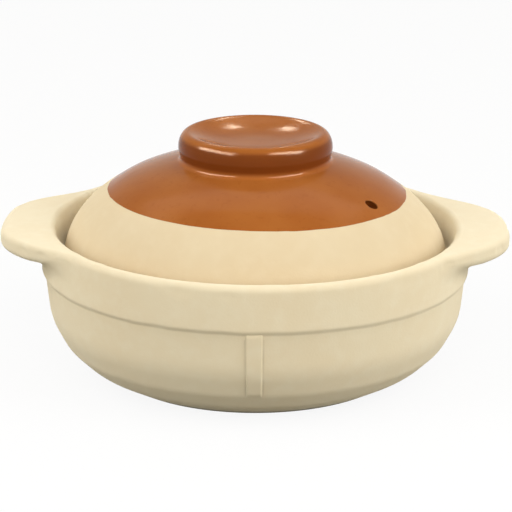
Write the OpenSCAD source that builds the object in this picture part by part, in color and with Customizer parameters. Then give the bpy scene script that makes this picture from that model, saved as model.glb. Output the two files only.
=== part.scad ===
// Lidded clay cooking pot with two ear handles and a loose domed lid.
// All lengths are in millimetres and all angles in degrees.
// The origin is the middle of the flat base, +Z is up and the ears lie along X.

/* [Pot] */
// Outer diameter of the plain band round the rim
rim_d = 219; // [200:1:240]
// Height from the table to the top of the lip
pot_h = 76.5; // [72:0.5:84]
// Diameter of the flat base
base_d = 145; // [134:1:152]
// Thickness of the side wall
wall_t = 6; // [4.5:0.25:7.5]
// Thickness of the floor
floor_t = 7; // [5.5:0.25:9]
// Height of the plain band below the lip
band_h = 23.2; // [22:0.2:26]
// How far the band stands out from the wall below it
band_step = 1.1; // [0.9:0.1:2]
// Lean of the wall below the band, away from upright
wall_lean = 7; // [4:0.5:10]
// Radius of the turn between the wall and the heel
belly_r = 34; // [28:0.5:38]
// Slope of the heel above the base
heel_slope = 27; // [24:0.5:31]
// Thickness of the rounded lip
lip_t = 6; // [5:0.25:7]

/* [Lid seat] */
// Depth of the seat below the top of the lip
seat_depth = 15; // [13:0.5:17]
// Width of the seat ledge
seat_w = 8; // [7:0.25:9]
// How far the mouth narrows from the lip down to the seat
mouth_flare = 3; // [1.5:0.25:4]
// Height of the ledge's upright nose
nose_h = 3; // [2:0.25:4]
// Height of the slope that carries the ledge
ledge_slope_h = 10.5; // [8:0.5:13]
// Clearance all round between the lid's edge and the mouth at the seat
lid_gap = 2.4; // [1:0.1:3.5]

/* [Ears] */
// How far each ear reaches out from the band
ear_reach = 20.5; // [14:0.5:26]
// Thickness of an ear
ear_t = 9.6; // [8:0.1:12]
// Half the angle over which an ear keeps its full reach
ear_flat_angle = 7; // [4:0.5:12]
// Half the angle that an ear covers on the band
ear_end_angle = 36; // [28:0.5:42]
// How far an ear stands out where it runs into the band
ear_edge = 1; // [0.8:0.1:2]
// Radius of the fillet between an ear's underside and the band
ear_fillet = 4; // [2:0.25:5]

/* [Ribs] */
// Width of the flat rib on the front and rear of the wall
rib_w = 7.8; // [5:0.2:12]
// How far a rib stands out from the wall
rib_t = 0.8; // [0.5:0.1:0.9]
// Height of a rib's lower end above the table
rib_foot = 18.6; // [14:0.2:26]

/* [Lid] */
// Thickness of the lid's wall
lid_t = 6; // [4.5:0.25:7.5]
// Height of the dome above its widest line
dome_rise = 54.3; // [46:0.5:62]
// Depth of the dome's widest line below the seat
dome_sink = 2.1; // [0.5:0.1:4]
// Diameter of the round steam hole
vent_d = 6.5; // [4.5:0.25:8]
// Width of glaze left between the steam hole and the glaze line
vent_edge = 3.75; // [1.5:0.25:12]
// Direction of the steam hole round the lid, from +X
vent_turn = -34.2; // [-90:0.1:90]

/* [Knob] */
// Diameter of the knob at its bulge
knob_d = 77.6; // [72:0.2:79]
// Height of the knob's ring above the crown of the dome
knob_h = 10.5; // [9.5:0.5:13]
// Diameter of the highest line of the ring
ring_d = 68.8; // [66:0.2:72]
// Height of the rounding from the bulge up to the ring
knob_round = 7.2; // [6:0.1:8]
// Depth of the dish in the top
dish_depth = 5.2; // [3:0.2:7]
// Diameter of the dish's flat floor
dish_floor_d = 12; // [8:0.5:20]
// Pull of the ring's curve into the dish
ring_pull = 3.5; // [2:0.25:4]
// Pull of the dish's wall along its floor
dish_pull = 18; // [8:0.5:19]
// Diameter where the knob's fillet runs out on the dome
knob_foot_d = 81; // [80:0.5:88]
// Pull of the neck's curve below the bulge
neck_drop = 4; // [3:0.25:5]
// Pull of the neck's curve along the dome
neck_pull = 7; // [5:0.25:8]

/* [Glaze] */
// Thickness of the glaze coats
glaze_t = 0.5; // [0.3:0.05:0.8]
// Diameter of the line where the lid's glaze ends
glaze_line_d = 153; // [152:0.5:170]

/* [Hidden] */
$fn = 96;

clay_colour = "#E5D6B6";
lid_clay_colour = "#DDC29A";
glaze_colour = "#9A5427";

// Steps along a rounded stretch of a profile
arc_steps = 14;
// Steps along a small rounding
edge_steps = 6;
// Rings along an ear
ear_rings = 40;
// Fine joint line that keeps the faceted ear off the round pot
ear_seam = 0.04;

rim_r = rim_d / 2;
base_r = base_d / 2;
lip_r = lip_t / 2;
lip_mid = [rim_r - lip_r, pot_h - lip_r];
band_z = pot_h - band_h;
seat_z = pot_h - seat_depth;
mouth_r = rim_r - lip_t;
seat_r = mouth_r - mouth_flare;
ledge_r = seat_r - seat_w;
wall_top = [rim_r - band_step, band_z];

// The wall line and the heel line meet at this corner, which the belly rounds off
corner_z = (wall_top.x - band_z * tan(wall_lean) - base_r) * tan(heel_slope)
    / (1 - tan(wall_lean) * tan(heel_slope));
corner = [base_r + corner_z / tan(heel_slope), corner_z];
belly_turn = 90 - wall_lean - heel_slope;
belly_run = belly_r * tan(belly_turn / 2);
belly_mid = corner + belly_run * [sin(wall_lean), cos(wall_lean)]
    - belly_r * [cos(wall_lean), -sin(wall_lean)];
rib_angle = asin((rib_foot - belly_mid.y) / belly_r);

lid_r = seat_r - lid_gap;
dome_mid_z = seat_z - dome_sink;
crown_z = dome_mid_z + dome_rise;
glaze_line_r = glaze_line_d / 2;
ring_r = ring_d / 2;
knob_top = crown_z + knob_h;
knob_foot_r = knob_foot_d / 2;
dish_z = knob_top - dish_depth;
dish_edge = [dish_floor_d / 2, dish_z];
vent_reach = glaze_line_r - vent_edge - vent_d / 2;

function polar(mid, r, a) = mid + r * [cos(a), sin(a)];
// Points on an arc from angle a to angle b
function arc(mid, r, a, b, steps) = [for (i = [0:steps]) polar(mid, r, a + (b - a) * i / steps)];
// Points on an upright ellipse from angle a to angle b
function oval(mid, rx, rz, a, b, steps) =
    [for (i = [0:steps]) let (t = a + (b - a) * i / steps) mid + [rx * cos(t), rz * sin(t)]];
// Points on a cubic curve with two pulls
function pulled(p, q, r, s, steps) = [for (i = [0:steps]) let (t = i / steps, u = 1 - t)
    u * u * u * p + 3 * u * u * t * q + 3 * u * t * t * r + t * t * t * s];
function backwards(p) = [for (i = [len(p) - 1:-1:0]) p[i]];
function without_first(p) = [for (i = [1:len(p) - 1]) p[i]];
function direction(p, i) =
    let (d = p[min(i + 1, len(p) - 1)] - p[max(i - 1, 0)]) d / norm(d);
// The same path moved to its right by t
function moved_right(p, t) =
    [for (i = [0:len(p) - 1]) let (d = direction(p, i)) p[i] + t * [d.y, -d.x]];
function smooth(t) = let (c = min(max(t, 0), 1)) c * c * (3 - 2 * c);

// Outside of the pot from the base to the underside of the band
function belly_low() = concat([[base_r, 0]],
    arc(belly_mid, belly_r, heel_slope - 90, rib_angle, arc_steps));
function belly_high() = concat(arc(belly_mid, belly_r, rib_angle, -wall_lean, arc_steps), [wall_top]);
// Band, lip, mouth and seat ledge, from the outside to the ledge's nose
function rim_path() = concat([[rim_r, band_z]], arc(lip_mid, lip_r, 0, 180, 3 * edge_steps),
    [[seat_r, seat_z], [ledge_r, seat_z]]);
// Inside of the pot from the ledge's nose down to the middle of the floor
function inner_wall_r(z) = wall_top.x - (band_z - z) * tan(wall_lean) - wall_t / cos(wall_lean);
nose_z = seat_z - nose_h;
slope_z = nose_z - ledge_slope_h;
inside_floor_r = base_r + (floor_t - wall_t / cos(heel_slope)) / tan(heel_slope);
function inside_path() = concat([[ledge_r, nose_z], [inner_wall_r(slope_z), slope_z]],
    arc(belly_mid, belly_r - wall_t, -wall_lean, heel_slope - 90, 2 * arc_steps),
    [[inside_floor_r, floor_t], [0, floor_t]]);

// Outside of the dome between two distances from the axis
function dome_angle(r) = acos(r / lid_r);
function dome_path(r_a, r_b, steps) =
    oval([0, dome_mid_z], lid_r, dome_rise, dome_angle(r_a), dome_angle(r_b), steps);
function dome_z(r) = dome_mid_z + dome_rise * sin(dome_angle(r));
function dome_lean(r) = atan(dome_rise * r / (lid_r * lid_r * sin(dome_angle(r))));
lid_edge_r = lid_r * cos(asin(dome_sink / dome_rise));
dome_bare = dome_path(lid_edge_r, glaze_line_r, arc_steps);
dome_coated = dome_path(glaze_line_r, knob_foot_r, arc_steps);
dome_covered = dome_path(knob_foot_r, 0, arc_steps);
lid_inside_r = lid_r - lid_t;
lid_inside_rise = dome_rise - lid_t;
lid_inside = oval([0, dome_mid_z], lid_inside_r, lid_inside_rise,
    90, asin(dome_sink / lid_inside_rise), 2 * arc_steps);

// Outside of the knob from its foot on the dome to the middle of the dish
knob_foot = [knob_foot_r, dome_z(knob_foot_r)];
bulge = [knob_d / 2, knob_top - knob_round];
foot_lean = dome_lean(knob_foot_r);
foot_pull = knob_foot - neck_pull * [cos(foot_lean), -sin(foot_lean)];
knob_path = concat(
    pulled(knob_foot, foot_pull, bulge - [0, neck_drop], bulge, arc_steps),
    without_first(oval([ring_r, bulge.y], bulge.x - ring_r, knob_round, 0, 90, arc_steps)),
    without_first(pulled([ring_r, knob_top], [ring_r - ring_pull, knob_top],
        dish_edge + [dish_pull, 0], dish_edge, arc_steps)),
    [[0, dish_z]]);

// Section of a coat of glaze along a path that ends on the axis
module coat(path) {
    top = moved_right(path, glaze_t);
    last = len(path) - 1;
    on_axis = [0, path[last].y + glaze_t];
    outer = [for (i = [0:last]) i == last ? on_axis : top[i]];
    rotate_extrude() polygon(concat(path, backwards(outer)));
}

module pot_bowl() {
    color(clay_colour) rotate_extrude()
        polygon(concat(belly_low(), without_first(belly_high()), rim_path(), inside_path(), [[0, 0]]));
}

// Reach of an ear beyond the band at angle a from its middle
function taper(a) = smooth((abs(a) - ear_flat_angle) / (ear_end_angle - ear_flat_angle));
function reach(a) = ear_edge + (ear_reach - ear_edge) * (1 - taper(a));
// Section of an ear that reaches out by e: over the top, round the edge, back and up the band
ear_z = pot_h - ear_t;
lip_seam_angle = asin(lip_r / (lip_r + ear_seam));
function ear_section(e) =
    let (low_r = min(ear_t - lip_r, e / 2), fillet = min(ear_fillet, e / 2), wall = rim_r + ear_seam)
    concat(
        arc(lip_mid + [e, 0], lip_r, 90, 0, edge_steps),
        arc([rim_r + e - low_r, ear_z + low_r], low_r, 0, -90, edge_steps),
        arc([wall + fillet, ear_z - fillet], fillet, 90, 180, edge_steps),
        arc(lip_mid, lip_r + ear_seam, 0, lip_seam_angle, edge_steps));

// One ear, swept round the rim from end to end
module ear(turn) {
    rings = [for (i = [0:ear_rings]) let (a = ear_end_angle * (2 * i / ear_rings - 1))
        [for (p = ear_section(reach(a))) [p.x * cos(a), p.x * sin(a), p.y]]];
    count = len(rings[0]);
    sides = [for (i = [0:ear_rings - 1], j = [0:count - 1], half = [0, 1])
        let (a = i * count + j, b = i * count + (j + 1) % count)
            half == 0 ? [a, a + count, b] : [b, a + count, b + count]];
    first_end = [for (j = [0:count - 1]) j];
    last_end = [for (j = [count - 1:-1:0]) ear_rings * count + j];
    color(clay_colour) rotate(turn)
        polyhedron([for (ring = rings, p = ring) p], concat(sides, [first_end, last_end]));
}

module left_ear() { ear(180); }

module right_ear() { ear(0); }

// Flat rib on the wall, from its foot up to the underside of the band
module rib(turn) {
    back = belly_high();
    face = moved_right(back, rib_t);
    last = len(back) - 1;
    top = [wall_top.x + rib_t / cos(wall_lean), band_z];
    section = concat(back, [top], [for (i = [last - 1:-1:0]) face[i]]);
    color(clay_colour) rotate(turn) intersection() {
        rotate_extrude() polygon(section);
        translate([-rib_w / 2, -rim_r, 0]) cube([rib_w, rim_r, pot_h]);
    }
}

module front_rib() { rib(0); }

module rear_rib() { rib(180); }

// Glaze inside the pot, from under the ledge to the floor
module pot_glaze() {
    color(glaze_colour) coat(without_first(inside_path()));
}

// Steam hole, square to the dome's surface
module vent() {
    rotate(vent_turn) translate([vent_reach, 0, dome_z(vent_reach)]) rotate([0, dome_lean(vent_reach), 0])
        cylinder(h = 4 * lid_t, d = vent_d, center = true);
}

module lid_dome() {
    color(lid_clay_colour) difference() {
        rotate_extrude()
            polygon(concat(dome_bare, without_first(dome_coated), without_first(dome_covered), lid_inside));
        vent();
    }
}

module lid_knob() {
    color(lid_clay_colour) rotate_extrude() polygon(concat(knob_path, backwards(dome_covered)));
}

// Glaze over the top of the dome and the knob
module lid_glaze() {
    color(glaze_colour) difference() {
        coat(concat(dome_coated, without_first(knob_path)));
        vent();
    }
}

pot_bowl();
left_ear();
right_ear();
front_rib();
rear_rib();
pot_glaze();
lid_dome();
lid_knob();
lid_glaze();
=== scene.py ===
"""Clay cooking pot with two ears and a loose domed lid: matt cream clay and a caramel brown glaze."""
import math

import bpy
from mathutils import Matrix, Vector, noise


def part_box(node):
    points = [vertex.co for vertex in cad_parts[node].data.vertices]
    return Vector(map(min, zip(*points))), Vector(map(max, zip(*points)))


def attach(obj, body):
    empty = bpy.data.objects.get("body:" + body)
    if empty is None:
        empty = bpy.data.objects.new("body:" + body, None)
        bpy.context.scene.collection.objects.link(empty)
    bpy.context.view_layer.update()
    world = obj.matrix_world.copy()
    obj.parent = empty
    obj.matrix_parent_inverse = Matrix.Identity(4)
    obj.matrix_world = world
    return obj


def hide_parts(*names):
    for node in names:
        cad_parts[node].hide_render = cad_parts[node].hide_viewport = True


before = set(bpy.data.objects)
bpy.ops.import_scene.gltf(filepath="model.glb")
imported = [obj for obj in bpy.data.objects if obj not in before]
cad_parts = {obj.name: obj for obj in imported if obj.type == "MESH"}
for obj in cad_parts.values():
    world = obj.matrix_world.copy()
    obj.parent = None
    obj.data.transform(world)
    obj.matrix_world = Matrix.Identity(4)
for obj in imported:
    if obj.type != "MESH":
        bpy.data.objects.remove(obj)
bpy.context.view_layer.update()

MM = 0.001

# Sizes read from the frame
RIM_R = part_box("pot_bowl")[1].x
POT_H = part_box("pot_bowl")[1].z
EAR_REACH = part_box("right_ear")[1].x - RIM_R
SEAT_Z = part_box("lid_dome")[0].z
LID_EDGE_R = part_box("lid_dome")[1].x
RIB_FOOT_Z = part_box("front_rib")[0].z
RIB_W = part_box("front_rib")[1].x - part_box("front_rib")[0].x
KNOB_TOP_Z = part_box("lid_knob")[1].z

# Base, heel and wall. A round is the radius that softens a corner
BASE_R = 73.5 * MM
BASE_ROUND = 4 * MM
HEEL_LOW_R = 89.3 * MM
HEEL_LOW_Z = 8.6 * MM
HEEL_LOW_ROUND = 26 * MM
HEEL_HIGH_R = 98.8 * MM
HEEL_HIGH_Z = 18 * MM
HEEL_HIGH_ROUND = 16 * MM
WALL_FOOT_Z = 31 * MM
WALL_FOOT_SWELL = 0.3 * MM
WALL_FOOT_ROUND = 30 * MM
WALL_LEAN = math.radians(7)
WALL_T = 6 * MM

# Band under the lip, with a soft step below it
BAND_Z = POT_H - 23.2 * MM
BAND_START_Z = BAND_Z - 6 * MM
BAND_STEP = 1.5 * MM
BAND_TILT = math.radians(36)
STEP_FOOT_ROUND = 2.8 * MM
STEP_EDGE_ROUND = 3 * MM
WALL_TOP_R = RIM_R - BAND_STEP

# Lip, mouth and the ledge that carries the lid
LIP_R = 3 * MM
LIP_MID_R = RIM_R - LIP_R
MOUTH_R = RIM_R - 2 * LIP_R
MOUTH_INSET = 0.3 * MM
MOUTH_ROUND = 3 * MM
MOUTH_FLARE = 3 * MM
SEAT_R = MOUTH_R - MOUTH_FLARE
THROAT_H = 3 * MM
THROAT_INSET = 0.4 * MM
THROAT_ROUND = 6 * MM
SEAT_INSET = 0.9 * MM
SEAT_ROUND = 1.5 * MM
SEAT_W = 8 * MM
LEDGE_R = SEAT_R - SEAT_W
NOSE_H = 3 * MM
NOSE_ROUND = 1.2 * MM
LEDGE_SLOPE_H = 10.5 * MM
LEDGE_FOOT_Z = SEAT_Z - NOSE_H - LEDGE_SLOPE_H
LEDGE_FOOT_ROUND = 5 * MM

# Hollow of the pot
HOLLOW_TOP_Z = LEDGE_FOOT_Z - 8 * MM
BELLY_R = 97.5 * MM
BELLY_Z = 21 * MM
BELLY_ROUND = 26 * MM
FLOOR_R = 78 * MM
FLOOR_T = 7 * MM
FLOOR_ROUND = 14 * MM

# Ears. A run is the length over which something comes in
EAR_T = 9.6 * MM
EAR_FRONT_ROUND = 2.6 * MM
EAR_REAR_ROUND = 4.2 * MM
EAR_ROUND_RUN = 8 * MM
EAR_LOW_ROUND = 4.6 * MM
EAR_ROOT_ROUND = 12 * MM
EAR_ROOT_FILL = 0.95
EAR_ROOT_DROP = 20.5 * MM
EAR_SPREAD = 5 * MM
EAR_SPREAD_RUN = 15 * MM
EAR_INSET = 2.5 * MM
EAR_FLAT_ANGLE = math.radians(7)
LEFT_EAR_REAR_FLAT = math.radians(11)
EAR_END_ANGLE = math.radians(36)
EAR_BLEND_ANGLE = math.radians(12)

# Ribs on the wall
RIB_T = 0.8 * MM
RIB_TAPER = 0.1
RIB_SHIFT = -0.6 * MM
RIB_FOOT_LIFT = 0.7 * MM
RIB_FOOT_RUN = 4 * MM
RIB_START = 2.5 * MM
RIB_TOP_OVER = 1 * MM
RIB_TOP_RUN = 3 * MM
RIB_EDGE = 0.35 * MM
RIB_CORNER = 1.2 * MM
RIB_BACK = 1.5 * MM

# Lid and its knob
LID_T = 6 * MM
LID_FOOT_H = 4 * MM
LID_FOOT_ROUND = 1.6 * MM
DOME_RISE = 54.3 * MM
DOME_SINK = 2.1 * MM
DOME_MID_Z = SEAT_Z - DOME_SINK
DOME_R = LID_EDGE_R / math.cos(math.asin(DOME_SINK / DOME_RISE))
HOLLOW_RISE = DOME_RISE - LID_T
HOLLOW_R = DOME_R - LID_T
KNOB_R = 38.8 * MM
KNOB_ROUND = 7.2 * MM
KNOB_FOOT_R = 42 * MM
NECK_RUN = 5 * MM
NECK_ROUND = 3 * MM
BULGE_DROP = 0.8 * MM
BULGE_ROUND = 3 * MM
RING_R = 34.4 * MM
RING_PULL = 3.5 * MM
DISH_PULL = 18 * MM
DISH_DEPTH = 5.2 * MM
DISH_FLOOR_R = 6 * MM

# Steam hole
VENT_R = 3.25 * MM
VENT_REACH = 69.5 * MM
VENT_TURN = math.radians(-34.2)
VENT_FLARE = 0.9 * MM
VENT_DEPTH = 14 * MM
VENT_CLEAR = 3 * MM
VENT_GLAZE_W = 0.5 * MM
VENT_GLAZE_DEPTH = 5.5 * MM

# Coats of glaze
GLAZE_T = 0.5 * MM
GLAZE_KEY = 0.3 * MM
GLAZE_LINE_R = 76.5 * MM
COAT_EDGE_RUN = 14 * MM
LINING_EDGE_RUN = 2 * MM
# Painted shade in the glaze on the knob's side: where it starts above the foot and below the ring
SHADE_FOOT = 1 * MM
SHADE_FOOT_RUN = 4 * MM
SHADE_TOP = 0.6 * MM
SHADE_TOP_RUN = 2.4 * MM
SHADE_RING_RUN = 1.5 * MM

# Small faults of a pot that was pressed, joined and fired by hand
UNEVEN_SEED = 8
WANDER = 0.35 * MM
WANDER_RUN = 70 * MM
RIPPLE = 0.08 * MM
RIPPLE_RUN = 26 * MM
UPRIGHT_SHARE = 0.5
STILL_BASE_H = 12 * MM
LIP_DENT = 0.45 * MM
DENT_RUN = 9 * MM
DENT_FROM = 0.1
DENT_SPAN = 0.4
DENT_ZONE = 9 * MM
DENT_ZONE_RUN = 6 * MM
STEP_WAVER = 0.5 * MM
WAVER_RUN = 14 * MM
WAVER_ZONE = 4 * MM
RIM_LEAN = math.radians(0.5)
LEAN_FROM_Z = 15 * MM
LEAN_RUN = 50 * MM
LID_WANDER = 0.25 * MM
LID_WANDER_RUN = 60 * MM
LID_NOISE_SPOT = Vector((7, 3, 1))
STILL_FOOT_H = 22 * MM
DOME_LEAN = math.radians(0.3)
LEVEL_R = 22 * MM
LEVEL_RUN = 48 * MM
RIGHT_EAR_LIFT = 0.5 * MM
GLAZE_SLIP = 1.1 * MM
SLIP_ZONE_R = KNOB_FOOT_R + 8 * MM
GLAZE_WAVE = 0.25 * MM
WAVE_COUNT = 5
GLAZE_CURL = 0.1 * MM
CURL_COUNT = 17

# Painted shade in the clay, from 0 to 1: at the foot where the pot meets the floor and in the corners beside
# the ribs
FOOT_SHADE_H = 4 * MM
LEFT_SHADE = 0.22
RIGHT_SHADE = 0.15
SHADE_W = 0.55 * MM
SHADE_RUN = 9 * MM
SHADE_SPOT = 3
SHADE_MEAN = 0.75
SHADE_SWING = 0.5

# How finely the pieces are cut
AROUND = 256
VENT_AROUND = 48
STEP = 1.2 * MM
KNOB_STEP = 0.5 * MM
COAT_STEP = 0.7 * MM
CORNER_CUTS = 6
EAR_CUTS = 150
EAR_CORNER_CUTS = 9
RIB_CUTS = 40
RING_CUTS = 16
DISH_CUTS = 18
FLARE_CUTS = 8
SHARP_ANGLE = math.radians(50)
LEAST_TURN = 0.01
ON_AXIS = 1e-6
SINK = 0.01 * MM

noise.seed_set(UNEVEN_SEED)


def smooth(t):
    """Soft step from 0 to 1."""
    t = min(max(t, 0.0), 1.0)
    return t * t * (3 - 2 * t)


def straight(a, b, count):
    """Points between two ends, without the ends."""
    return [a.lerp(b, i / count) for i in range(1, count)]


def rounded(corners, step=STEP, even=None):
    """Path through corners (r, z, radius), each rounded off. even gives every stretch that many steps."""
    path = []
    for i, (r, z, radius) in enumerate(corners):
        here = Vector((r, z))
        stretch = [here]
        if radius and 0 < i < len(corners) - 1:
            back = (Vector(corners[i - 1][:2]) - here).normalized()
            ahead = (Vector(corners[i + 1][:2]) - here).normalized()
            half = back.angle(ahead) / 2
            mid = here + (back + ahead).normalized() * radius / math.sin(half)
            arm = here + back * radius / math.tan(half) - mid
            turn = math.copysign(math.pi - 2 * half, back.y * ahead.x - back.x * ahead.y)
            count = even or max(CORNER_CUTS, round(abs(turn) * radius / step))
            stretch = [mid + Matrix.Rotation(turn * k / count, 2) @ arm for k in range(count + 1)]
        if path:
            count = even or max(1, round((stretch[0] - path[-1]).length / step))
            path += straight(path[-1], stretch[0], count)
        path += stretch
    return path


def oval(r, rise, start, end, step=STEP):
    """Points on the upright ellipse of the dome or its hollow, between two angles."""
    count = round(abs(end - start) * r / step)
    angles = [start + (end - start) * k / count for k in range(count + 1)]
    return [Vector((r * math.cos(a), DOME_MID_Z + rise * math.sin(a))) for a in angles]


def pulled(a, b, c, d):
    """Points on a curve from a to d that leaves towards b and arrives from c."""
    count = round((d - a).length / STEP)
    path = []
    for k in range(count + 1):
        t = k / count
        u = 1 - t
        path.append(a * u ** 3 + b * (3 * u * u * t) + c * (3 * u * t * t) + d * t ** 3)
    return path


def joined(*paths):
    """Paths end to end, without the doubled points."""
    whole = list(paths[0])
    for path in paths[1:]:
        whole += path[1:]
    return whole


def outward(path, i):
    """Direction to the right of a path at one of its points."""
    along = (path[min(i + 1, len(path) - 1)] - path[max(i - 1, 0)]).normalized()
    return Vector((along.y, -along.x))


def smooth_mesh(name, verts, faces):
    """Smoothly shaded mesh object."""
    mesh = bpy.data.meshes.new(name)
    mesh.from_pydata(verts, [], faces)
    mesh.validate()
    mesh.shade_smooth()
    mesh.set_sharp_from_angle(angle=SHARP_ANGLE)
    made = bpy.data.objects.new(name, mesh)
    bpy.context.scene.collection.objects.link(made)
    return made


def piece(name, verts, faces, body, cad_node):
    """Piece of the pot or lid that rides on its body and stands for a CAD node."""
    made = smooth_mesh(name, verts, faces)
    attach(made, body)
    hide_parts(cad_node)
    return made


def mark(made, name, values):
    """Gives every point of a mesh a value that its material reads."""
    made.data.attributes.new(name, "FLOAT", "POINT").data.foreach_set("value", values)


def turned(path, closed=False, around=AROUND):
    """Vertices and faces of a path turned round the axis; a point on the axis is one vertex."""
    verts, faces, rings = [], [], []
    angles = [math.tau * k / around for k in range(around)]
    for r, z in path:
        first = len(verts)
        if r < ON_AXIS:
            verts.append(Vector((0, 0, z)))
            rings.append([first] * around)
        else:
            verts += [Vector((r * math.cos(a), r * math.sin(a), z)) for a in angles]
            rings.append(list(range(first, first + around)))
    if closed:
        rings.append(rings[0])
    for low, high in zip(rings, rings[1:]):
        for k in range(around):
            n = (k + 1) % around
            face = tuple(dict.fromkeys((low[k], low[n], high[n], high[k])))
            if len(face) > 2:
                faces.append(face)
    return verts, faces


def pot_unevenness(v):
    """The walls wander, the lip is dented, the band's step wavers and the rim leans; the base stays flat."""
    free = smooth(v.z / STILL_BASE_H)
    drift = noise.noise_vector(v / WANDER_RUN) * WANDER + noise.noise_vector(v / RIPPLE_RUN) * RIPPLE
    near_lip = smooth((v.z - POT_H + DENT_ZONE) / DENT_ZONE_RUN)
    dent = LIP_DENT * near_lip * smooth((noise.noise(v / DENT_RUN) - DENT_FROM) / DENT_SPAN)
    inward = -Vector((v.x, v.y, 0)).normalized() * dent
    near_step = math.exp(-((v.z - BAND_Z) / WAVER_ZONE) ** 2)
    waver = STEP_WAVER * near_step * noise.noise(v / WAVER_RUN)
    lean = v.x * math.tan(RIM_LEAN) * smooth((v.z - LEAN_FROM_Z) / LEAN_RUN)
    upright = drift.z * free * UPRIGHT_SHARE + waver - lean
    return v + inward + Vector((drift.x * free, drift.y * free, upright))


def lid_unevenness(v):
    """The lid lies on the leaning seat, its dome leans a little more, and its knob is level again."""
    free = smooth((v.z - SEAT_Z) / STILL_FOOT_H)
    drift = noise.noise_vector(v / LID_WANDER_RUN + LID_NOISE_SPOT) * LID_WANDER * free
    outer = smooth((math.hypot(v.x, v.y) - LEVEL_R) / LEVEL_RUN)
    lean = v.x * outer * (math.tan(RIM_LEAN) + free * math.tan(DOME_LEAN))
    return v + drift - Vector((0, 0, lean))


# The pot

def wall_r(z):
    """Outside of the wall below the band."""
    return WALL_TOP_R - (BAND_Z - z) * math.tan(WALL_LEAN)


def pot_outside():
    """From the middle of the base up to the underside of the band."""
    return rounded([
        (0, 0, 0),
        (BASE_R, 0, BASE_ROUND),
        (HEEL_LOW_R, HEEL_LOW_Z, HEEL_LOW_ROUND),
        (HEEL_HIGH_R, HEEL_HIGH_Z, HEEL_HIGH_ROUND),
        (wall_r(WALL_FOOT_Z) + WALL_FOOT_SWELL, WALL_FOOT_Z, WALL_FOOT_ROUND),
        (WALL_TOP_R, BAND_Z, 0),
    ])


def pot_rim():
    """Band with its soft lower edge, lip, mouth and ledge, down to the inside of the wall."""
    rise = BAND_STEP / math.tan(BAND_TILT) / 2
    return rounded([
        (wall_r(BAND_START_Z), BAND_START_Z, 0),
        (WALL_TOP_R, BAND_Z - rise, STEP_FOOT_ROUND),
        (RIM_R, BAND_Z + rise, STEP_EDGE_ROUND),
        (RIM_R, POT_H, LIP_R),
        (MOUTH_R - MOUTH_INSET, POT_H, MOUTH_ROUND),
        (SEAT_R - THROAT_INSET, SEAT_Z + THROAT_H, THROAT_ROUND),
        (SEAT_R - SEAT_INSET, SEAT_Z, SEAT_ROUND),
        (LEDGE_R, SEAT_Z, NOSE_ROUND),
        (LEDGE_R, SEAT_Z - NOSE_H, NOSE_ROUND),
        (wall_r(LEDGE_FOOT_Z) - WALL_T, LEDGE_FOOT_Z, LEDGE_FOOT_ROUND),
        (wall_r(HOLLOW_TOP_Z) - WALL_T, HOLLOW_TOP_Z, 0),
    ])


def pot_inside():
    """From under the ledge down the wall to the middle of the floor."""
    return rounded([
        (wall_r(HOLLOW_TOP_Z) - WALL_T, HOLLOW_TOP_Z, 0),
        (BELLY_R, BELLY_Z, BELLY_ROUND),
        (FLOOR_R, FLOOR_T, FLOOR_ROUND),
        (0, FLOOR_T, 0),
    ])


def make_bowl():
    """Bowl with its band, lip and seat ledge, with a little painted shade round the foot where it meets the
    floor.
    """
    outside = [p for p in pot_outside() if p.y < BAND_START_Z]
    verts, faces = turned(joined(outside, pot_rim(), pot_inside()))
    made = piece("bowl", [pot_unevenness(v) for v in verts], faces, "pot", "pot_bowl")
    mark(made, "painted_shade", [1 - smooth(v.z / FOOT_SHADE_H) for v in verts])
    return made


def ear_section(reach, edge_round):
    """Closed outline of an ear that reaches out from the band: over the top, round the edge and back."""
    ear_z = POT_H - EAR_T
    root_z = POT_H - EAR_ROOT_DROP
    spread = EAR_SPREAD * (1 - smooth(reach / EAR_SPREAD_RUN))
    top_round = LIP_R + (edge_round - LIP_R) * smooth(reach / EAR_ROUND_RUN)
    run = math.hypot(reach, 2 * spread)
    bend = math.tan(max(math.atan2(abs(reach), 2 * spread), LEAST_TURN) / 2)
    room = EAR_ROOT_FILL * (ear_z - spread - root_z)
    # The two fillets of the underside shrink where the ear is too short for them
    fit = min(1, run / ((EAR_LOW_ROUND + EAR_ROOT_ROUND) * bend), room / (EAR_ROOT_ROUND * bend))
    return rounded([
        (LIP_MID_R, POT_H - SINK, 0),
        (RIM_R + reach, POT_H - SINK, top_round),
        (RIM_R + reach, ear_z + spread, EAR_LOW_ROUND * fit),
        (RIM_R - SINK, ear_z - spread, EAR_ROOT_ROUND * fit),
        (RIM_R - SINK, root_z, 0),
        (RIM_R - EAR_INSET, root_z, 0),
        (LIP_MID_R, POT_H - EAR_INSET, 0),
    ], even=EAR_CORNER_CUTS)


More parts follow.
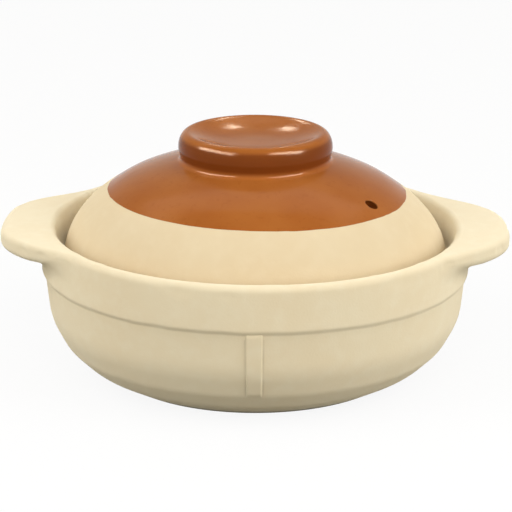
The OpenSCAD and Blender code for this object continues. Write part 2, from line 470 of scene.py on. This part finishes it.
def make_ear(name, cad_node, middle, rear_flat, lift):
    """Flat ear swept along the rim; it grows out of the lip and the band and runs back into them."""
    verts, faces, count = [], [], 0
    for k in range(EAR_CUTS + 1):
        off = EAR_END_ANGLE * (2 * k / EAR_CUTS - 1)
        a = middle + off
        flat = rear_flat if math.sin(a) > 0 else EAR_FLAT_ANGLE
        taper = smooth((abs(off) - flat) / (EAR_END_ANGLE - flat))
        behind = smooth(1 + math.sin(a) / math.sin(EAR_BLEND_ANGLE))
        edge_round = EAR_FRONT_ROUND + (EAR_REAR_ROUND - EAR_FRONT_ROUND) * behind
        section = ear_section(EAR_REACH * (1 - taper) - 2 * SINK, edge_round)
        count = len(section)
        for r, z in section:
            raised = z + lift * smooth((r - RIM_R) / EAR_REACH)
            verts.append(pot_unevenness(Vector((r * math.cos(a), r * math.sin(a), raised))))
    for k in range(EAR_CUTS):
        for j in range(count):
            n = (j + 1) % count
            faces.append((k * count + j, (k + 1) * count + j, (k + 1) * count + n, k * count + n))
    faces.append(tuple(range(count)))
    faces.append(tuple(EAR_CUTS * count + j for j in reversed(range(count))))
    return piece(name, verts, faces, "pot", cad_node)


def rib_corner_shade(x, out, z):
    """Painted shade line in a rib's corner: strong and close on the left, fainter and further out on the
    right.
    """
    line, depth = (RIB_EDGE, LEFT_SHADE) if x < 0 else (2 * RIB_EDGE, RIGHT_SHADE)
    patch = noise.noise(Vector((math.copysign(SHADE_SPOT, x), 0, z / SHADE_RUN)))
    return depth * (SHADE_MEAN + SHADE_SWING * patch) * math.exp(-((out - line) / SHADE_W) ** 2)


def make_rib(name, cad_node, middle):
    """Flat strip pressed out of the wall, from a soft foot up into the band, with painted shade in the
    corners beside it.
    """
    foot_z = RIB_FOOT_Z + RIB_FOOT_LIFT
    path = [p for p in pot_outside() if p.y > foot_z - RIB_START]
    front, rear, painted_shades = [], [], []
    for i, p in enumerate(path):
        side = outward(path, i)
        from_foot = smooth((p.y - foot_z) / RIB_FOOT_RUN + 0.5)
        rise = from_foot * smooth((BAND_Z + RIB_TOP_OVER - p.y) / RIB_TOP_RUN)
        half_w = RIB_W / 2 * (1 - RIB_TAPER * (BAND_Z - p.y) / (BAND_Z - foot_z))
        for j in range(RIB_CUTS + 1):
            x = (half_w + RIB_EDGE + RIB_CORNER) * (2 * j / RIB_CUTS - 1)
            out = abs(x) - half_w
            skirt = 2 * SINK if 0 < j < RIB_CUTS else -SINK
            height = RIB_T * rise * (1 - smooth((out + RIB_EDGE) / (2 * RIB_EDGE))) + skirt * rise
            painted_shades.append(rise * rib_corner_shade(x, out, p.y))
            for row, lift in ((front, height), (rear, -RIB_BACK)):
                q = p + side * lift
                a = middle + (x + RIB_SHIFT) / q.x
                row.append(pot_unevenness(Vector((q.x * math.cos(a), q.x * math.sin(a), q.y))))
    wide = RIB_CUTS + 1
    size = len(front)
    faces = []
    for i in range(len(path) - 1):
        for j in range(RIB_CUTS):
            a = i * wide + j
            faces.append((a, a + 1, a + wide + 1, a + wide))
            faces.append((size + a, size + a + wide, size + a + wide + 1, size + a + 1))
    bottom = list(range(wide))
    right = [i * wide + RIB_CUTS for i in range(1, len(path))]
    top = [(len(path) - 1) * wide + j for j in range(RIB_CUTS - 1, -1, -1)]
    left = [i * wide for i in range(len(path) - 2, 0, -1)]
    border = bottom + right + top + left
    for a, b in zip(border, border[1:] + border[:1]):
        faces.append((b, a, size + a, size + b))
    made = piece(name, front + rear, faces, "pot", cad_node)
    mark(made, "painted_shade", painted_shades + [0.0] * size)
    return made


def glaze_section(path, edge_run):
    """Closed outline of a coat of glaze along a path to the axis, thinned out over its first edge_run."""
    top, under, run = [], [], 0.0
    for i, p in enumerate(path):
        run += (p - path[max(i - 1, 0)]).length
        side = outward(path, i)
        top.append(p + side * (GLAZE_T * smooth(run / edge_run) - SINK))
        under.append(p - side * GLAZE_KEY)
    top[-1].x = 0
    under[-1].x = 0
    return top + under[::-1]


def make_lining():
    """Glaze poured round the inside of the pot: it stops in a soft edge under the ledge."""
    path = [p for p in joined(pot_rim(), pot_inside()) if p.x < RIM_R - WALL_T]
    start = max(i for i, p in enumerate(path) if p.y > LEDGE_FOOT_Z + LEDGE_SLOPE_H / 2)
    verts, faces = turned(glaze_section(path[start:], LINING_EDGE_RUN), closed=True)
    verts = [pot_unevenness(v) for v in verts]
    return piece("pot_lining", verts, faces, "pot", "pot_glaze")


# The lid

def dome_angle(r):
    """Angle on the dome's ellipse at a distance from the axis."""
    return math.acos(min(r / DOME_R, 1))


def dome_z(r):
    """Height of the dome at a distance from the axis."""
    return DOME_MID_Z + DOME_RISE * math.sin(dome_angle(r))


def dome_lean(r):
    """Slope of the dome at a distance from the axis."""
    return math.atan(DOME_RISE * r / (DOME_R ** 2 * math.sin(dome_angle(r))))


def foot_angle(rise):
    """Angle on an ellipse of the lid at the top of its foot."""
    return math.asin((SEAT_Z + LID_FOOT_H - DOME_MID_Z) / rise)


def lid_foot():
    """Flat foot of the lid with rounded edges, from the inside to the outside."""
    seat_in = HOLLOW_R * math.cos(math.asin(DOME_SINK / HOLLOW_RISE))
    top_z = SEAT_Z + LID_FOOT_H
    return rounded([
        (HOLLOW_R * math.cos(foot_angle(HOLLOW_RISE)), top_z, 0),
        (seat_in, SEAT_Z, LID_FOOT_ROUND),
        (LID_EDGE_R, SEAT_Z, LID_FOOT_ROUND),
        (DOME_R * math.cos(foot_angle(DOME_RISE)), top_z, 0),
    ])


def make_dome(clay, coat):
    """Hollow dome of the lid, closed inside and out, with glaze run into its steam hole; that glaze carries
    painted shade.
    """
    inside = oval(HOLLOW_R, HOLLOW_RISE, math.pi / 2, foot_angle(HOLLOW_RISE))
    outside = oval(DOME_R, DOME_RISE, foot_angle(DOME_RISE), math.pi / 2)
    inside[0].x = 0
    outside[-1].x = 0
    verts, faces = turned(joined(inside, lid_foot(), outside))
    made = piece("dome", [lid_unevenness(v) for v in verts], faces, "lid", "lid_dome")
    made.data.materials.append(clay)
    made.data.materials.append(coat)
    drill_vent(made)
    into_vent = vent_frame().inverted()
    for face in made.data.polygons:
        spot = into_vent @ face.center
        if math.hypot(spot.x, spot.y) < VENT_R + VENT_GLAZE_W and spot.z > -VENT_GLAZE_DEPTH:
            face.material_index = 1
    # The glaze in the steam hole gets the full painted shade of a deep hole
    mark(made, "glaze_shade", [1.0] * len(made.data.vertices))


def knob_path():
    """Outside of the knob's clay, from its foot on the dome to the middle of the dish."""
    foot = Vector((KNOB_FOOT_R, dome_z(KNOB_FOOT_R)))
    lean = dome_lean(KNOB_FOOT_R)
    bulge = Vector((KNOB_R, KNOB_TOP_Z - KNOB_ROUND))
    ring = Vector((RING_R, KNOB_TOP_Z))
    floor = Vector((DISH_FLOOR_R, KNOB_TOP_Z - DISH_DEPTH))
    centre = Vector((0, floor.y))
    neck = foot - NECK_RUN * Vector((math.cos(lean), -math.sin(lean)))
    under = bulge - Vector((0, BULGE_DROP))
    side = rounded([(*foot, 0), (*neck, NECK_ROUND), (*under, BULGE_ROUND), (*bulge, 0)], step=KNOB_STEP)
    top = []
    for k in range(RING_CUTS + 1):
        a = math.pi / 2 * k / RING_CUTS
        top.append(Vector((RING_R + (KNOB_R - RING_R) * math.cos(a), bulge.y + KNOB_ROUND * math.sin(a))))
    dish = pulled(ring, ring - Vector((RING_PULL, 0)), floor + Vector((DISH_PULL, 0)), floor)
    return joined(side, top, dish) + straight(floor, centre, DISH_CUTS) + [centre]


def make_knob():
    """Clay ring knob luted to the crown; the glaze hides all of it."""
    under = oval(DOME_R, DOME_RISE, math.pi / 2, dome_angle(KNOB_FOOT_R))
    under[0].x = 0
    verts, faces = turned(knob_path() + under[:-1], closed=True)
    return piece("knob", [lid_unevenness(v) for v in verts], faces, "lid", "lid_knob")


def knob_side_shade(v):
    """How much shade is painted into the glaze: full on the knob's side, less towards its ring and its foot.
    """
    above_foot = smooth((v.z - dome_z(KNOB_FOOT_R) - SHADE_FOOT) / SHADE_FOOT_RUN)
    below_ring = smooth((KNOB_TOP_Z - SHADE_TOP - v.z) / SHADE_TOP_RUN)
    return above_foot * below_ring * smooth((math.hypot(v.x, v.y) - RING_R) / SHADE_RING_RUN)


def slipped(v):
    """Glaze near its edge has run further down on one side of the dome, and its edge wanders a little."""
    r = math.hypot(v.x, v.y)
    near_edge = smooth((r - SLIP_ZONE_R) / (GLAZE_LINE_R - SLIP_ZONE_R))
    if near_edge == 0:
        return v
    turn = Vector((v.x / r, v.y / r, 0))
    wave = GLAZE_WAVE * noise.noise(turn * WAVE_COUNT) + GLAZE_CURL * noise.noise(turn * CURL_COUNT)
    slope = dome_lean(min(r, GLAZE_LINE_R))
    down = turn * math.cos(slope) - Vector((0, 0, math.sin(slope)))
    return v + down * (GLAZE_SLIP * turn.x + wave) * near_edge


def make_coat():
    """Glaze over the crown and the knob: it thins out to a slightly wandering edge on the bare clay."""
    crown = oval(DOME_R, DOME_RISE, dome_angle(GLAZE_LINE_R), dome_angle(KNOB_FOOT_R), COAT_STEP)
    verts, faces = turned(glaze_section(joined(crown, knob_path()), COAT_EDGE_RUN), closed=True)
    placed = [lid_unevenness(slipped(v)) for v in verts]
    made = piece("crown_glaze", placed, faces, "lid", "lid_glaze")
    # Painted shade on the knob's side, read by the glaze material
    mark(made, "glaze_shade", [knob_side_shade(v) for v in verts])
    drill_vent(made)
    return made


def vent_frame():
    """Place and direction of the steam hole: square to the dome, on top of the glaze."""
    x = VENT_REACH * math.cos(VENT_TURN)
    y = VENT_REACH * math.sin(VENT_TURN)
    spot = lid_unevenness(Vector((x, y, dome_z(VENT_REACH) + GLAZE_T)))
    turn = Matrix.Rotation(VENT_TURN, 4, "Z") @ Matrix.Rotation(dome_lean(VENT_REACH), 4, "Y")
    return Matrix.Translation(spot) @ turn


def drill_vent(made):
    """Cuts the steam hole square to the dome, with its edge rounded over as wet clay and glaze are."""
    wide = VENT_R + 2 * VENT_FLARE
    edge = [(VENT_R, -2 * VENT_FLARE, 0), (VENT_R, 0, VENT_FLARE), (wide, 0, 0)]
    path = joined(
        [Vector((0, -VENT_DEPTH)), Vector((VENT_R, -VENT_DEPTH)), Vector((VENT_R, -VENT_FLARE))],
        rounded(edge, even=FLARE_CUTS)[1:],
        [Vector((wide, 0)), Vector((wide, VENT_CLEAR)), Vector((0, VENT_CLEAR))])
    cutter = smooth_mesh("vent_cutter", *turned(path, around=VENT_AROUND))
    cutter.matrix_world = vent_frame()
    cut = made.modifiers.new("steam_hole", "BOOLEAN")
    cut.operation = "DIFFERENCE"
    cut.solver = "EXACT"
    cut.object = cutter
    bpy.context.view_layer.update()
    mesh = bpy.data.meshes.new_from_object(made.evaluated_get(bpy.context.evaluated_depsgraph_get()))
    made.modifiers.clear()
    made.data = mesh
    mesh.shade_smooth()
    mesh.set_sharp_from_angle(angle=SHARP_ANGLE)
    bpy.data.objects.remove(cutter)


# Materials

def linear(colour):
    """sRGB hex colour as linear RGBA."""
    parts = [int(colour[i:i + 2], 16) / 255 for i in (1, 3, 5)]
    return [c / 12.92 if c <= 0.04045 else ((c + 0.055) / 1.055) ** 2.4 for c in parts] + [1.0]


def per_metre(size_mm):
    """Texture scale that gives a pattern features of about this size."""
    return 1 / (size_mm * MM)


def node(tree, kind, inputs=None, **settings):
    """Adds a node, sets its settings and fills its inputs with values or links."""
    made = tree.nodes.new(kind)
    for key, value in settings.items():
        setattr(made, key, value)
    for key, value in (inputs or {}).items():
        if isinstance(value, bpy.types.NodeSocket):
            tree.links.new(value, made.inputs[key])
        else:
            made.inputs[key].default_value = value
    return made


def new_material(name):
    """Empty material with its node tree."""
    made = bpy.data.materials.new(name)
    made.use_nodes = True
    made.node_tree.nodes.clear()
    return made, made.node_tree


def fired_clay(name, body, pale, warm):
    """Unglazed fired clay: dry and matt, blotched a little by the kiln, with sandy grain and pinholes."""
    made, tree = new_material(name)
    place = node(tree, "ShaderNodeTexCoord").outputs["Object"]
    blotch = node(tree, "ShaderNodeTexNoise", {"Vector": place, "Scale": per_metre(45), "Detail": 3.0})
    mottle = node(tree, "ShaderNodeTexNoise", {"Vector": place, "Scale": per_metre(7), "Detail": 4.0})
    # Sand grains of about 0.5 mm are drawn at 1 mm so that they show
    grain = node(tree, "ShaderNodeTexNoise", {"Vector": place, "Scale": per_metre(1), "Detail": 2.0})
    pin = node(tree, "ShaderNodeTexVoronoi", {"Vector": place, "Scale": per_metre(5.5)})
    warmth = node(tree, "ShaderNodeMapRange", {
        "Value": blotch.outputs["Fac"], "From Min": 0.35, "From Max": 0.7})
    paleness = node(tree, "ShaderNodeMapRange", {
        "Value": mottle.outputs["Fac"], "From Min": 0.45, "From Max": 0.75, "To Max": 0.5})
    # Painted shade: the clay is darkened in the corners beside the ribs and round the foot
    painted_shade = node(tree, "ShaderNodeAttribute", attribute_name="painted_shade")
    colour = linear(body)
    for share, tint in ((warmth.outputs["Result"], warm),
                        (paleness.outputs["Result"], pale),
                        (painted_shade.outputs["Fac"], "#4E4530")):
        mix = node(tree, "ShaderNodeMix", {"Factor": share, "A": colour, "B": linear(tint)},
                   data_type="RGBA")
        colour = mix.outputs["Result"]
    pit = node(tree, "ShaderNodeMapRange", {
        "Value": pin.outputs["Distance"], "From Min": 0.05, "From Max": 0.11})
    relief = node(tree, "ShaderNodeMath", {0: grain.outputs["Fac"], 1: pit.outputs["Result"]},
                  operation="MULTIPLY")
    bump = node(tree, "ShaderNodeBump", {
        "Height": relief.outputs[0], "Strength": 0.25, "Distance": 0.25 * MM})
    shader = node(tree, "ShaderNodeBsdfPrincipled", {
        "Base Color": colour, "Roughness": 0.9, "Diffuse Roughness": 0.7,
        "Specular IOR Level": 0.15, "Normal": bump.outputs["Normal"]})
    node(tree, "ShaderNodeOutputMaterial", {"Surface": shader.outputs["BSDF"]})
    return made


def amber_glaze(name):
    """Iron glaze fired to caramel brown: glossy, a little wavy and flecked, with painted shade where it is
    darker.
    """
    made, tree = new_material(name)
    place = node(tree, "ShaderNodeTexCoord").outputs["Object"]
    cloud = node(tree, "ShaderNodeTexNoise", {"Vector": place, "Scale": per_metre(30), "Detail": 4.0})
    fleck = node(tree, "ShaderNodeTexNoise", {"Vector": place, "Scale": per_metre(2.5), "Detail": 3.0})
    wave = node(tree, "ShaderNodeTexNoise", {"Vector": place, "Scale": per_metre(14), "Detail": 2.0})
    tone = node(tree, "ShaderNodeMapRange", {
        "Value": cloud.outputs["Fac"], "From Min": 0.3, "From Max": 0.7})
    speck = node(tree, "ShaderNodeMapRange", {
        "Value": fleck.outputs["Fac"], "From Min": 0.58, "From Max": 0.75, "To Max": 0.3})
    # Painted shade: darker glaze on the knob's side and in the steam hole
    glaze_shade = node(tree, "ShaderNodeAttribute", attribute_name="glaze_shade")
    colour = linear("#A15A24")
    for share, tint in ((tone.outputs["Result"], "#AC662D"),
                        (speck.outputs["Result"], "#8E4719"),
                        (glaze_shade.outputs["Fac"], "#7B3E15")):
        mix = node(tree, "ShaderNodeMix", {"Factor": share, "A": colour, "B": linear(tint)},
                   data_type="RGBA")
        colour = mix.outputs["Result"]
    rough = node(tree, "ShaderNodeMapRange", {"Value": fleck.outputs["Fac"], "To Min": 0.13, "To Max": 0.22})
    bump = node(tree, "ShaderNodeBump", {
        "Height": wave.outputs["Fac"], "Strength": 0.2, "Distance": 0.6 * MM})
    shader = node(tree, "ShaderNodeBsdfPrincipled", {
        "Base Color": colour, "Roughness": rough.outputs["Result"], "IOR": 1.5,
        "Specular IOR Level": 0.06, "Normal": bump.outputs["Normal"]})
    node(tree, "ShaderNodeOutputMaterial", {"Surface": shader.outputs["BSDF"]})
    return made


def seen_rays(tree):
    """1 for rays that show the paper: to the camera, in reflections and through glass; 0 for its light."""
    ray = node(tree, "ShaderNodeLightPath").outputs
    shown = node(tree, "ShaderNodeMath", {0: ray["Is Camera Ray"], 1: ray["Is Glossy Ray"]},
                 operation="MAXIMUM")
    through = node(tree, "ShaderNodeMath", {0: shown.outputs[0], 1: ray["Is Transmission Ray"]},
                   operation="MAXIMUM")
    return through.outputs[0]


def white_paper(name):
    """Plain pale sweep: white to the camera and in reflections, with the pot's soft shadow left on it."""
    made, tree = new_material(name)
    glow_share = 0.9
    seen = seen_rays(tree)
    share = node(tree, "ShaderNodeMath", {0: seen, 1: glow_share}, operation="MULTIPLY")
    tone = node(tree, "ShaderNodeMix", {"Factor": seen, "A": linear("#6A6455"), "B": linear("#FFFFFF")},
                data_type="RGBA")
    paper = node(tree, "ShaderNodeBsdfDiffuse", {"Color": tone.outputs["Result"]})
    glow = node(tree, "ShaderNodeEmission", {"Color": linear("#FFFFFF"), "Strength": 1.0})
    mix = node(tree, "ShaderNodeMixShader", {0: share.outputs[0], 1: paper.outputs[0], 2: glow.outputs[0]})
    node(tree, "ShaderNodeOutputMaterial", {"Surface": mix.outputs[0]})
    return made


# Studio

def make_floor():
    """Plain pale floor under the pot."""
    half = 4.0
    corners = [(-half, -half, 0), (half, -half, 0), (half, half, 0), (-half, half, 0)]
    made = smooth_mesh("floor", corners, [(0, 1, 2, 3)])
    made.data.materials.append(white_paper("white_paper"))


def make_camera():
    """Camera at the photograph's angle: above the front, looking down at the middle of the pot."""
    aim = Vector((0, 0, 58.3 * MM))
    pitch = math.radians(17.26)
    distance = 1.2
    focal_px = 2328
    frame_px = 512
    axis_px = 255.4
    data = bpy.data.cameras.new("camera")
    data.sensor_width = 36
    data.lens = focal_px / frame_px * data.sensor_width
    data.shift_x = (frame_px / 2 - axis_px) / frame_px
    made = bpy.data.objects.new("camera", data)
    back = Vector((0, -math.cos(pitch), math.sin(pitch)))
    made.location = aim + back * distance
    made.rotation_euler = (-back).to_track_quat("-Z", "Y").to_euler()
    bpy.context.scene.collection.objects.link(made)
    bpy.context.scene.camera = made


def softbox(name, turn, height, wide, high, watts, roll=0, colour="#FFFFFF", glint=False):
    """Lamp aimed at the lid, turned to the right of the camera. A glint shows only in reflections."""
    aim = Vector((0, 0, 70 * MM))
    distance = 1.3
    upward = Matrix.Rotation(math.radians(-height), 3, "X")
    sideways = Matrix.Rotation(math.radians(turn), 3, "Z")
    back = sideways @ upward @ Vector((0, -1, 0))
    data = bpy.data.lights.new(name, "AREA")
    data.shape = "RECTANGLE"
    data.size = wide
    data.size_y = high
    data.energy = watts
    data.color = linear(colour)[:3]
    made = bpy.data.objects.new(name, data)
    facing = (-back).to_track_quat("-Z", "Y").to_matrix()
    made.rotation_euler = (facing @ Matrix.Rotation(math.radians(roll), 3, "Z")).to_euler()
    made.location = aim + back * distance
    made.visible_diffuse = not glint
    made.visible_glossy = glint
    bpy.context.scene.collection.objects.link(made)


def make_world():
    """Light tent: white at the height of the pot and about a third as bright overhead."""
    overhead = 0.35
    world = bpy.data.worlds.new("light_tent")
    bpy.context.scene.world = world
    world.use_nodes = True
    tree = world.node_tree
    tree.nodes.clear()
    way = node(tree, "ShaderNodeSeparateXYZ", {0: node(tree, "ShaderNodeTexCoord").outputs["Generated"]})
    strength = node(tree, "ShaderNodeMapRange", {
        "Value": way.outputs["Z"], "To Min": 1.0, "To Max": overhead})
    shade = node(tree, "ShaderNodeBackground", {
        "Color": linear("#FFFEF8"), "Strength": strength.outputs["Result"]})
    node(tree, "ShaderNodeOutputWorld", {"Surface": shade.outputs[0]})


bpy.context.scene.view_settings.view_transform = "Standard"
make_camera()
make_world()
make_floor()

softbox("front_fill", turn=0, height=36, wide=0.8, high=0.6, watts=2.4)
softbox("right_fill", turn=62, height=24, wide=0.8, high=1.2, watts=8.8)
softbox("left_fill", turn=-63, height=30, wide=0.8, high=1.2, watts=6.5)
glints = {"colour": "#FFEBD0", "glint": True}
softbox("right_glint", turn=58, height=40, wide=1.05, high=0.36, watts=115, roll=-34, **glints)
softbox("left_glint", turn=-70, height=39.5, wide=1.3, high=0.38, watts=125, roll=7, **glints)
softbox("rear_right_glint", turn=173, height=41, wide=0.07, high=0.07, watts=1.0, **glints)
softbox("rear_left_glint", turn=-172, height=35.5, wide=0.07, high=0.07, watts=1.0, **glints)
softbox("back_sheen", turn=180, height=60, wide=1.7, high=0.5, watts=6, colour="#FFF6E8", glint=True)

# Pale stoneware, pressed in a mould and fired bare: a dry cream skin with no shine
pot_clay = fired_clay("pale_stoneware_unglazed", "#ECE0C3", "#EFE5CB", "#EADCBD")
# The lid's bare stoneware has the same dry skin in a warmer, deeper cream
lid_clay = fired_clay("warm_stoneware_unglazed", "#DFCEAC", "#E2D2B2", "#DDCAA6")
# Amber iron glaze, poured on and fired: a smooth caramel skin that gives clear glints on the knob
glaze = amber_glaze("amber_iron_glaze_glossy")

for part in (make_bowl(),
             make_ear("ear_left", "left_ear", math.pi, LEFT_EAR_REAR_FLAT, 0),
             make_ear("ear_right", "right_ear", 0, EAR_FLAT_ANGLE, RIGHT_EAR_LIFT),
             make_rib("rib_front", "front_rib", -math.pi / 2),
             make_rib("rib_rear", "rear_rib", math.pi / 2)):
    part.data.materials.append(pot_clay)
make_dome(lid_clay, glaze)
make_knob().data.materials.append(lid_clay)
for part in (make_lining(), make_coat()):
    part.data.materials.append(glaze)
